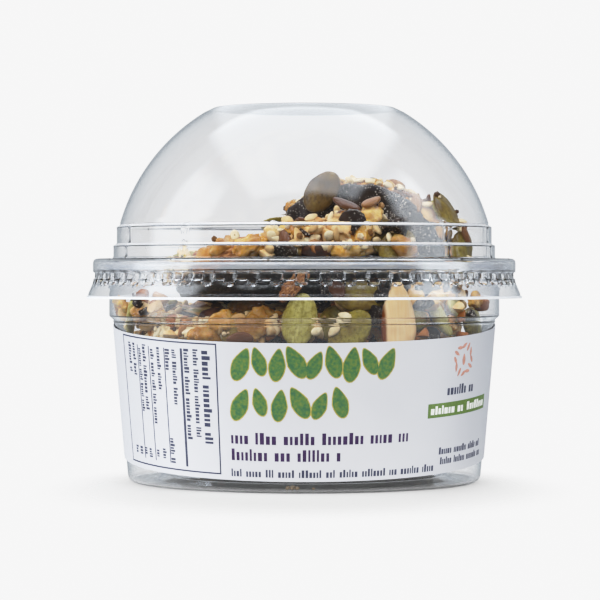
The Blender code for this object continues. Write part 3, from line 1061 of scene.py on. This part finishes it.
def strewn_places(surfaces, half, shapes, tops, rims, lift, lean, spacing, sizes=(0.85, 1.15)):
    """Random places on every cookie, as (shape, placing, tone). surfaces gives, for a cookie,
    what a piece may land on. Places closer together than spacing are passed over, and big
    pieces stay off the front, where they are set one by one."""
    found = []
    for number, placing in enumerate(places_of_cookies, start=1):
        radius = COOKIES[number - 1][2]
        exposed = number in EXPOSED
        top_count = tops if exposed else tops // 3
        for i in range(top_count + rims):
            angle = draws.uniform(0, 2 * math.pi)
            out = Vector((math.cos(angle), math.sin(angle), 0))
            if i < top_count:
                near = OPEN_FROM if exposed else COVERED_FROM
                start = out * radius * math.sqrt(draws.uniform(near ** 2, TOPS_TO ** 2))
                start.z = HALF + DROP_FROM
                way = Vector((0, 0, -1))
            else:
                start = out * (radius + RIM_FROM)
                start.z = draws.uniform(-1.4, HALF - 0.6)
                way = -out
            met = landing(surfaces(number), placing @ start, placing.to_3x3() @ way)
            size = draws.uniform(*sizes)
            spin = draws.uniform(0, 360)
            tone = draws.random()
            if met is None:
                continue
            bed = bedded(met[0], met[1], lean, spin, lift) @ Matrix.Scale(size, 4)
            middle = bed.to_translation()
            if any((middle - other).length < spacing + room for other, room in taken):
                continue
            in_front = middle.z > FRONT_LOW and (middle.y < FRONT_FACE or middle.z > FRONT_TOP)
            if spacing > BIG and in_front:
                continue
            if spacing and number == STANDING and middle.z > STANDING_TOP:
                continue
            if fits(bed, half, number):
                found.append((int(draws.integers(shapes)), bed, tone))
                if spacing:
                    taken.append((middle, spacing * 0.5))
    return found


def set_places(spots, half, lift, shapes):
    """Places given one by one, as (across, height, size, spin, tone). A piece lands on the food
    as met from the front, and is drawn back until it is inside the plastic."""
    found = []
    for across, height, size, spin, tone in spots:
        met = landing(cores + bases + kernels, Vector((across, -ACROSS_TUB, height)), Vector((0, 1, 0)))
        if met is None:
            continue
        bed = bedded(met[0], met[1], 0.10, spin, lift * size) @ Matrix.Scale(size, 4)
        while not in_tub(bed, half) and bed.to_translation().y < 0:
            bed = Matrix.Translation((-0.01 * across, 0.3, 0)) @ bed
        found.append((int(draws.integers(shapes)), bed, tone))
        taken.append((bed.to_translation(), max(half) * size * 0.5))
    return found


def heaped(right, left, half, sizes, shapes):
    """Loose pieces that fell between the stack and the wall: a heap in the wide pocket on the
    right, some in the narrow one on the left, wherever there is room between the others."""
    found = []
    for count, (turns, deep, low, high) in zip((right, left), POCKETS):
        tries = 0
        kept = 0
        while kept < count and tries < TRIES * count:
            tries += 1
            turn = math.radians(draws.uniform(*turns))
            size = draws.uniform(*sizes)
            z = draws.uniform(low, high)
            reach = inner_reach(z) - half[2] * size - 0.4 - deep * draws.random() ** 1.5
            middle = Vector((reach * math.sin(turn), -reach * math.cos(turn), z))
            room = max(half) * size * 0.75
            if any((middle - other).length < room + far * 0.7 for other, far in taken):
                continue
            out = Vector((math.sin(turn), -math.cos(turn), 0.3))
            bed = bedded(middle, out, 0.35, draws.uniform(0, 360), 0) @ Matrix.Scale(size, 4)
            if fits(bed, half, 0):
                found.append((int(draws.integers(shapes)), bed, draws.random()))
                taken.append((middle, room))
                kept += 1
    return found


def in_caramel(number):
    """What a large piece lands on at a cookie."""
    return [cores[number - 1]]


def all_places(half, shapes, spots, lift, heap, scatter):
    """The places of one kind: set one by one in front, heaped beside the stack as (right, left,
    sizes), and strewn in the caramel as (tops, rims, lift, lean, spacing, sizes)."""
    right, left, sizes = heap
    found = set_places(spots, half, lift, shapes)
    found += heaped(right, left, half, sizes, shapes)
    return found + strewn_places(in_caramel, half, shapes, *scatter)


def as_model(piece):
    """Takes a modelled piece apart into points, triangles and its own flat coordinates."""
    modified(piece, "TRIANGULATE")
    mesh = piece.data
    points = np.empty(len(mesh.vertices) * 3)
    mesh.vertices.foreach_get("co", points)
    points = points.reshape(-1, 3) / MM
    corners = np.empty(len(mesh.polygons) * 3, np.int64)
    mesh.polygons.foreach_get("vertices", corners)
    low = points.min(axis=0)
    own = (points - low)[:, :2] / (points.max(axis=0) - low)[:2]
    bpy.data.objects.remove(piece)
    return points, corners.reshape(-1, 3), own


def strew(name, models, places, finish, sharp=math.pi):
    """One mesh with a copy of a model at each place, each with a tone of its own."""
    points, faces, own, tones = [], [], [], []
    count = 0
    for shape, placing, tone in places:
        model_points, model_faces, model_own = models[shape]
        turned = np.array(placing)
        points.append(model_points @ turned[:3, :3].T + turned[:3, 3])
        faces.append(model_faces + count)
        own.append(model_own)
        tones.append(np.full(len(model_points), tone))
        count += len(model_points)
    faces = np.concatenate(faces)
    mesh = bpy.data.meshes.new(name)
    mesh.from_pydata(np.concatenate(points) * MM, [], faces)
    mesh.attributes.new("tone", "FLOAT", "POINT").data.foreach_set("value", np.concatenate(tones))
    flat = mesh.uv_layers.new(name="own")
    flat.data.foreach_set("uv", np.concatenate(own)[faces.ravel()].ravel())
    mesh.shade_smooth()
    mesh.set_sharp_from_angle(angle=sharp)
    mesh.materials.append(finish)
    piece = bpy.data.objects.new(name, mesh)
    bpy.context.scene.collection.objects.link(piece)
    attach(piece, "root")
    return piece


def drop_shape(size, tip, around, rings, curl=0.0):
    """A flattened drop along X, from a ball that is narrowed towards one end and curled."""
    bpy.ops.object.select_all(action="DESELECT")
    bpy.ops.mesh.primitive_uv_sphere_add(
        segments=around, ring_count=rings, radius=1, rotation=(0, math.pi / 2, 0)
    )
    bpy.ops.object.transform_apply(rotation=True)
    drop = bpy.context.object
    for vertex in drop.data.vertices:
        x, y, z = vertex.co
        narrow = 1 - tip * max(0.0, x) / 2
        flat = abs(z) ** 0.8 * math.copysign(1, z)
        bow = curl * (x * x - 0.4) + curl * 0.5 * y * y
        vertex.co = Vector((x * size[0] / 2, y * narrow * size[1] / 2, flat * size[2] / 2 + bow)) * MM
    return drop


def tone_of(tree):
    """The tone of the copy that a point belongs to."""
    made = tree.nodes.new("ShaderNodeAttribute")
    made.attribute_name = "tone"
    return made.outputs["Fac"]


def own_flat(tree):
    """A piece's own flat coordinates."""
    return node_in(tree, "ShaderNodeUVMap").outputs[0]


def across_of(tree):
    """How far across its own width a point of a piece lies, from 0 to 1."""
    return node_in(tree, "ShaderNodeSeparateXYZ", Vector=own_flat(tree)).outputs["Y"]


def streaked(tree, along, across):
    """Fine streaks that run the length of a piece, on its own coordinates."""
    spread = node_in(tree, "ShaderNodeMapping", Vector=own_flat(tree), Scale=(along, across, 1))
    lines = node_in(tree, "ShaderNodeTexNoise", Vector=spread.outputs[0], Scale=1.0, Detail=3.0)
    lines.inputs["Distortion"].default_value = 0.6
    return lines.outputs["Fac"]


# Pumpkin seeds, hulled and lightly roasted: flat olive-green drops with fine streaks, painted
# darker towards the edge as shade that rounds them. Eight that stand out are single pieces,
# and the rest are strewn.
seed_skin, tree, shader = new_finish("pumpkin_seed_skin", 0.32)
patches, grain = mottle(tree, 330.0, 1300.0)
shade = ramp_of(
    tree,
    maths(tree, "MULTIPLY_ADD", patches, 0.62, tone_of(tree)),
    [
        (0.0, (0.040, 0.026, 0.014)),
        (0.16, (0.120, 0.070, 0.018)),
        (0.40, (0.200, 0.140, 0.028)),
        (0.70, (0.330, 0.290, 0.060)),
        (1.0, (0.480, 0.440, 0.160)),
    ],
)
lines = streaked(tree, 2.5, 16.0)
shade = shaded(tree, shade, lines, [(0.3, (0.72, 0.70, 0.62)), (0.6, (1, 1, 1))])
# Painted shade: the seed darkens towards its edge, to round the flat drop.
from_edge = maths(tree, "PINGPONG", across_of(tree), 0.5)
painted_rim_shade = [(0.02, (0.40, 0.32, 0.18)), (0.12, (0.76, 0.70, 0.52)), (0.32, (1, 1, 1))]
shade = shaded(tree, shade, from_edge, painted_rim_shade)
roasted = [(0.38, (0.60, 0.52, 0.36)), (0.52, (1, 1, 1)), (0.72, (1.25, 1.2, 1.1))]
shade = shaded(tree, shade, grain, roasted, 0.8)
lit_within(shader, 0.12, (0.6, 0.7, 0.2))
coat(tree, shader, shade, lines, 0.00012, 0.7)

ALMOND = ((18.0, 8.6, 3.6), 0.36)
ALMOND_SLICE = ((17.0, 6.2, 1.5), 0.35)
PUMPKIN_SEED = ((12.0, 8.2, 2.6), 0.3)
SINGLE_SEEDS = [
    ("pumpkin_seed_1", (-1.0, -38.3, 38.6), (0.0, -1.0, 0.12), 80.0, 0.52),
    ("pumpkin_seed_2", (12.4, -32.2, 43.8), (0.15, -0.86, 0.50), 10.0, 0.10),
    ("pumpkin_seed_3", (10.2, -36.6, 35.8), (0.26, -0.96, 0.05), 60.0, 0.22),
    ("pumpkin_seed_4", (10.4, -20.4, 61.0), (0.05, -0.20, 0.98), 15.0, 0.30),
    ("pumpkin_seed_5", (20.8, -33.0, 54.6), (0.62, -0.75, 0.20), 70.0, 0.06),
    ("pumpkin_seed_6", (4.4, 12.9, 68.6), (-0.50, -0.84, -0.10), 12.0, -0.16),
    ("pumpkin_seed_7", (33.8, 3.8, 63.8), (0.72, -0.35, 0.60), 125.0, 0.12),
    ("pumpkin_seed_8", (37.6, 3.0, 54.8), (0.86, -0.46, 0.20), 95.0, 0.15),
]


def single(name, node, model, placing, tone, finish):
    """One kernel that takes the place of its plain solid."""
    piece = strew(name, [model], [(0, placing, tone)], finish)
    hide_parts(node)
    long = model[0][:, 0].max()
    for share in (-0.65, 0, 0.65):
        taken.append((placing @ Vector((share * long, 0, 0)), 3.2))
    return piece


def wrinkled(piece):
    """The fine unevenness of a dried kernel."""
    knead(piece, "CLOUDS", 3.2, 0.5)
    knead(piece, "CLOUDS", 0.9, 0.12)
    return piece


kernels = []
for i, (node, middle, facing, turn, tone) in enumerate(SINGLE_SEEDS):
    drop = wrinkled(drop_shape(*PUMPKIN_SEED, 48, 28, 0.25 - 0.1 * (i % 4)))
    model = as_model(drop)
    name = node.replace("pumpkin_seed", "plump_seed")
    kernels.append(
        single(name, node, model, stand(middle, facing, turn), tone, seed_skin)
    )


# Two almonds show whole: a blanched half, ivory to peach with faint streaks, its brown skin
# left at one edge, and a slice with its rough red-brown skin outwards.
blanched, tree, shader = new_finish("blanched_almond", 0.42)
lines = streaked(tree, 1.6, 13.0)
shade = ramp_of(
    tree, lines, [(0.25, (0.78, 0.49, 0.24)), (0.5, (0.83, 0.57, 0.31)), (0.75, (0.87, 0.65, 0.40))]
)
shade = shaded(tree, shade, across_of(tree), [(0.88, (1, 1, 1)), (0.94, (0.20, 0.07, 0.02))])
lit_within(shader, 0.15, (1.0, 0.6, 0.3))
coat(tree, shader, shade, lines, 0.0001, 0.5)

almond_skin, tree, shader = new_finish("almond_skin", 0.5)
patches, grain = mottle(tree, 500.0, 1800.0)
shade = ramp_of(
    tree,
    streaked(tree, 9.0, 12.0),
    [(0.32, (0.06, 0.018, 0.006)), (0.5, (0.27, 0.10, 0.030)), (0.68, (0.62, 0.33, 0.15))],
)
shade = shaded(tree, shade, patches, [(0.35, (0.5, 0.45, 0.4)), (0.6, (1, 1, 1))], 0.8)
coat(tree, shader, shade, grain, 0.0004, 0.9)

almond = as_model(wrinkled(drop_shape(*ALMOND, 56, 40, 0.2)))
slice_drop = wrinkled(drop_shape(*ALMOND_SLICE, 48, 32, -0.9))
knead(slice_drop, "CLOUDS", 1.6, 0.5)
slice_model = as_model(slice_drop)
half_place = stand((21.0, -33.5, 37.5), (0.45, -0.89, 0.05), 117.0)
kernels.append(single("blanched_half", "almond_half", almond, half_place, 0.5, blanched))
flake_place = stand((-2.4, -39.0, 46.2), (0.0, -1.0, 0.2), 50.0) @ Matrix.Scale(0.56, 4)
kernels.append(strew("skin_flake", [slice_model], [(0, flake_place, 0.5)], almond_skin))
slice_place = stand((-17.6, -37.8, 53.4), (-0.40, -0.80, 0.45), -3.0)
kernels.append(
    single("skinned_slice", "almond_slice", slice_model, slice_place, 0.5, almond_skin)
)


# The strewn pumpkin seeds, of the same kind, which roasting curled a little in three ways.
# They lie in every nut layer, held by its caramel, and stand out of the rims.
seed_models = [as_model(drop_shape(*PUMPKIN_SEED, 16, 10, curl)) for curl in (0.3, -0.2, 0.05)]
seed_places = all_places(
    (6, 4, 1.3),
    3,
    [(5.9, 37.6, 0.92, 80, 0.16), (17.2, 57.2, 0.85, 90, 0.02), (-14.5, 36.2, 0.8, 20, 0.0)],
    0.6,
    (6, 1, (0.75, 0.95)),
    (30, 16, 0.2, 0.35, 3.2, (0.78, 1.05)),
)
loose_seeds = strew("strewn_pumpkin_seeds", seed_models, seed_places, seed_skin)


# Chopped almonds: hard pieces with flat broken faces, cream inside, some with brown skin.
# They are chopped from whole kernels, and stick in the caramel or fell beside the stack.
def chopped(radius, cuts, near=0.3, far=0.65):
    """A rough ball cut by a few planes, as a kernel breaks under the knife."""
    bpy.ops.object.select_all(action="DESELECT")
    bpy.ops.mesh.primitive_ico_sphere_add(subdivisions=2, radius=radius * MM)
    bit = bpy.context.object
    bpy.ops.object.mode_set(mode="EDIT")
    for _ in range(cuts):
        normal = Vector(draws.normal(0, 1, 3)).normalized()
        bpy.ops.mesh.select_all(action="SELECT")
        bpy.ops.mesh.bisect(
            plane_co=normal * radius * MM * draws.uniform(near, far),
            plane_no=normal,
            use_fill=True,
            clear_outer=True,
        )
    bpy.ops.object.mode_set(mode="OBJECT")
    modified(bit, "BEVEL", width=0.08 * radius * MM, segments=1)
    return as_model(bit)


BIT_HALF = (2, 2, 2)
chopped_nut, tree, shader = new_finish("chopped_almond", 0.45)
patches, grain = mottle(tree, 420.0, 1700.0)
shade = ramp_of(
    tree, patches, [(0.32, (0.56, 0.30, 0.10)), (0.5, (0.74, 0.49, 0.23)), (0.7, (0.84, 0.66, 0.40))]
)
shade = shaded(tree, shade, tone_of(tree), [(0.55, (1, 1, 1)), (0.8, (0.42, 0.20, 0.09))])
lit_within(shader, 0.1, (1.0, 0.6, 0.3))
coat(tree, shader, shade, grain, 0.0002, 0.7)

nut_models = [chopped(2.4, 6) for _ in range(6)]
nut_places = all_places(
    BIT_HALF,
    6,
    [
        (-8.1, 53.7, 0.8, 0, 0.3), (-1.0, 56.8, 1.0, 40, 0.2), (3.0, 58.1, 0.75, 80, 0.1),
        (4.6, 57.2, 0.7, 20, 0.2), (6.1, 58.6, 0.95, 70, 0.1), (7.5, 57.2, 0.8, 120, 0.3),
        (9.0, 57.9, 1.1, 10, 0.1), (11.6, 54.2, 0.6, 30, 0.2), (13.9, 54.0, 0.6, 60, 0.5),
        (25.5, 53.7, 0.6, 0, 0.4), (-7.7, 36.8, 0.85, 0, 0.2), (-32.2, 40.8, 1.0, 0, 0.3),
        (-37.5, 37.4, 0.9, 50, 0.5), (32.4, 43.0, 1.0, 0, 0.3), (30.6, 36.2, 0.9, 40, 0.2),
        (33.6, 36.0, 0.7, 10, 0.6), (32.4, 48.6, 0.9, 70, 0.7),
    ],
    0.7,
    (30, 10, (0.6, 1.15)),
    (60, 34, 0.6, 0.6, 1.6, (0.4, 1.15)),
)
nuts = strew("chopped_almonds", nut_models, nut_places, chopped_nut, 0.6)


# Chocolate bits, dark and broken small, and raisins, dried whole, wrinkled and nearly black.
# Both are stirred into the topping and lie in the same places as the nuts.
bit_models = [chopped(2.3, 6, 0.2, 0.5) for _ in range(4)]
bit_places = all_places(
    BIT_HALF,
    4,
    [
        (-9.0, 57.0, 0.5, 0, 0.5), (-5.0, 53.9, 1.5, 0, 0.5), (0.1, 57.9, 0.7, 0, 0.5),
        (10.6, 59.4, 1.5, 0, 0.5), (21.3, 58.1, 1.9, 0, 0.5), (1.0, 62.6, 2.2, 0, 0.5),
        (-38.2, 41.2, 1.4, 0, 0.5), (-26.5, 38.4, 1.2, 0, 0.5), (34.6, 40.6, 1.2, 0, 0.5),
        (7.0, 45.6, 1.5, 0, 0.5), (18.0, 43.6, 1.4, 0, 0.5), (17.2, 39.4, 1.2, 0, 0.5),
        (13.2, 65.9, 1.5, 20, 0.5), (9.8, 66.9, 1.5, 70, 0.5),
    ],
    0.7,
    (12, 4, (0.6, 1.1)),
    (30, 18, 0.6, 0.6, 1.8, (0.7, 1.3)),
)
strew("chocolate_bits", bit_models, bit_places, dark_chocolate, 0.6)

raisin_skin, tree, shader = new_finish("raisin_skin", 0.42)
patches, grain = mottle(tree, 300.0, 1500.0)
shade = ramp_of(
    tree, patches, [(0.35, (0.018, 0.008, 0.007)), (0.6, (0.060, 0.024, 0.014)), (0.8, (0.14, 0.06, 0.03))]
)
coat(tree, shader, shade, grain, 0.0002, 0.6)
raisin = drop_shape((9.0, 6.4, 4.2), 0.2, 24, 18)
knead(raisin, "VORONOI", 2.2, 1.3)
knead(raisin, "CLOUDS", 2.6, 1.0)
knead(raisin, "CLOUDS", 1.0, 0.7)
raisin_places = all_places(
    (4.5, 3.2, 2.1),
    1,
    [
        (2.4, 53.8, 0.75, 0, 0.5), (6.0, 53.6, 0.7, 30, 0.5), (-20.5, 38.8, 0.8, 15, 0.5),
        (15.2, 40.0, 0.7, 40, 0.5), (20.4, 64.4, 1.1, 80, 0.5), (8.6, 66.8, 0.8, 20, 0.5),
    ],
    0.4,
    (5, 1, (0.7, 0.95)),
    (12, 6, 0.5, 0.4, 3.4),
)
strew("raisins", [as_model(raisin)], raisin_places, raisin_skin)


# Lumps of caramel, sugar boiled with butter, that set amber and glassy. It drew together
# between the kernels as it cooled and holds them to the cookie.
amber, tree, shader = new_finish("amber_caramel", 0.16)
patches, grain = mottle(tree, 260.0, 1100.0)
shade = ramp_of(
    tree, patches, [(0.3, (0.34, 0.14, 0.020)), (0.48, (0.60, 0.31, 0.055)), (0.66, (0.80, 0.54, 0.20))]
)
browned = [(0.1, (0.42, 0.34, 0.26)), (0.35, (0.70, 0.62, 0.52)), (0.7, (1, 1, 1))]
shade = shaded(tree, shade, tone_of(tree), browned)
lit_within(shader, 0.35, (1.0, 0.45, 0.12), 0.002)
shader.inputs["Coat Weight"].default_value = 0.3
coat(tree, shader, shade, grain, 0.0006, 0.8)
lump_models = []
for size in ((8.0, 5.0, 4.0), (6.6, 5.6, 3.6), (7.2, 4.2, 4.4)):
    lump = drop_shape(size, 0.3, 26, 18)
    knead(lump, "CLOUDS", 3.4 - 0.1 * size[0], 2.4)
    knead(lump, "VORONOI", 2.0 + 0.05 * size[1], -1.1)
    knead(lump, "CLOUDS", 0.9, 0.7)
    lump_models.append(as_model(lump))
lump_places = all_places(
    (4, 2.5, 2),
    3,
    [
        (-22.2, 52.6, 1.0, 10, 0.4), (-18.4, 54.6, 0.9, 20, 0.3), (-13.0, 54.6, 1.0, 15, 0.5),
        (-10.8, 54.3, 0.8, 0, 0.8), (-3.2, 57.9, 0.9, 0, 0.9), (-1.8, 59.6, 0.8, 30, 0.7),
        (12.6, 57.4, 0.9, 100, 0.7), (14.6, 61.2, 1.0, 70, 1.0), (9.0, 54.1, 1.1, 20, 0.9),
        (21.9, 54.1, 1.0, 0, 0.3), (-13.5, 41.0, 1.25, 10, 0.0), (-21.5, 35.0, 1.3, 0, 0.3),
        (-17.0, 37.0, 1.2, 20, 0.4), (-12.4, 36.0, 1.3, 0, 0.15), (-9.6, 38.6, 1.0, 40, 0.2),
        (-41.0, 42.6, 1.0, 60, 0.9), (35.6, 41.5, 0.9, 80, 0.6), (30.0, 40.0, 0.9, 0, 0.8),
    ],
    0.4,
    (14, 6, (0.6, 1.0)),
    (18, 14, 0.1, 0.4, 2.4, (0.6, 1.1)),
)
lumps = strew("caramel_lumps", lump_models, lump_places, amber)


# Small seeds over everything: brown shells, ivory sesame and crumbs of nut and sugar. They
# land on the kernels as well as between them.
SHELL_HALF = (2.8, 1.5, 0.7)
SESAME_HALF = (1.6, 1, 0.5)
CRUMB_HALF = (0.6, 0.6, 0.6)
CRUMBS_ON_TABLE = [(-2.6, -38.4, 1.1), (-1.6, -38.6, 0.8), (-3.7, -38.2, 0.9), (2.0, -38.5, 0.6)]


def all_on(number):
    """What a small seed can land on at a cookie."""
    ground = [*in_caramel(number), *kernels[:8], loose_seeds]
    return ground + [nuts, lumps] if number in EXPOSED else ground


shell_brown, tree, shader = new_finish("brown_seed_shell", 0.3)
shade = ramp_of(
    tree,
    tone_of(tree),
    [(0.1, (0.035, 0.015, 0.008)), (0.5, (0.13, 0.048, 0.018)), (0.9, (0.28, 0.13, 0.045))],
)
lines = streaked(tree, 2.0, 8.0)
shade = shaded(tree, shade, lines, [(0.35, (0.45, 0.4, 0.35)), (0.6, (1, 1, 1))], 0.7)
coat(tree, shader, shade, lines, 0.0001, 0.6)
shell_model = as_model(drop_shape((5.6, 3.0, 1.4), 0.6, 12, 8, 0.2))
shell_places = set_places(
    [
        (5.0, 48.0, 0.9, 70, 0.5), (7.4, 44.8, 1.2, 110, 0.3), (9.0, 62.9, 1.3, 150, 0.35),
        (12.4, 62.6, 1.2, 40, 0.2), (16.4, 48.2, 1.3, 10, 0.8), (28.0, 47.6, 1.3, 0, 0.9),
    ],
    SHELL_HALF,
    1.2,
    1,
)
shell_places += strewn_places(all_on, SHELL_HALF, 1, 30, 18, 0.35, 0.4, 0, (0.7, 1.2))
strew("brown_seeds", [shell_model], shell_places, shell_brown)

sesame_coat, tree, shader = new_finish("sesame", 0.4)
patches, grain = mottle(tree, 900.0, 3000.0)
shade = ramp_of(
    tree, tone_of(tree), [(0.0, (0.50, 0.30, 0.12)), (0.3, (0.70, 0.52, 0.28)), (0.8, (0.80, 0.68, 0.45))]
)
shade = shaded(tree, shade, patches, [(0.35, (0.7, 0.62, 0.5)), (0.6, (1, 1, 1))], 0.5)
lit_within(shader, 0.15, (1.0, 0.7, 0.4), 0.0006)
coat(tree, shader, shade, grain, 0.00005, 0.5)
sesame_model = as_model(drop_shape((3.3, 2.1, 1.1), 0.7, 10, 7))
sesame_places = set_places(
    [
        (-2.6, 53.7, 1.0, 70, 0.8), (4.2, 55.0, 1.0, 20, 0.8), (8.4, 59.4, 1.0, 50, 0.9),
        (5.0, 41.9, 1.15, 0, 1.0), (6.4, 39.9, 1.0, 10, 0.9), (9.0, 39.0, 1.0, 150, 0.8),
        (2.2, 36.2, 1.0, 60, 0.8),
    ],
    SESAME_HALF,
    1.0,
    1,
)
sesame_places += strewn_places(all_on, SESAME_HALF, 1, 230, 150, 0.3, 0.45, 0, (0.8, 1.15))
strew("sesame_seeds", [sesame_model], sesame_places, sesame_coat)

crumb_finish, tree, shader = new_finish("crumb", 0.6)
shade = ramp_of(
    tree,
    tone_of(tree),
    [
        (0.1, (0.06, 0.028, 0.014)),
        (0.35, (0.30, 0.14, 0.045)),
        (0.6, (0.55, 0.36, 0.17)),
        (0.9, (0.74, 0.60, 0.40)),
    ],
)
patches, grain = mottle(tree, 1500.0, 4000.0)
shade = shaded(tree, shade, patches, [(0.35, (0.6, 0.55, 0.5)), (0.6, (1, 1, 1))], 0.6)
coat(tree, shader, shade, grain, 0.0001, 0.6)
bpy.ops.object.select_all(action="DESELECT")
bpy.ops.mesh.primitive_ico_sphere_add(subdivisions=1, radius=0.7 * MM)
crumb = bpy.context.object
knead(crumb, "CLOUDS", 0.8, 0.6)
crumb_model = as_model(crumb)
crumb_places = strewn_places(all_on, CRUMB_HALF, 1, 260, 200, 0.2, 0.8, 0, (0.4, 1.3))
for x, y, size in CRUMBS_ON_TABLE:
    place = Matrix.Translation((x, y, 0.55 + 0.5 * size)) @ Matrix.Scale(size, 4)
    crumb_places.append((0, place, 0.65))
strew("crumbs", [crumb_model], crumb_places, crumb_finish, 0.5)
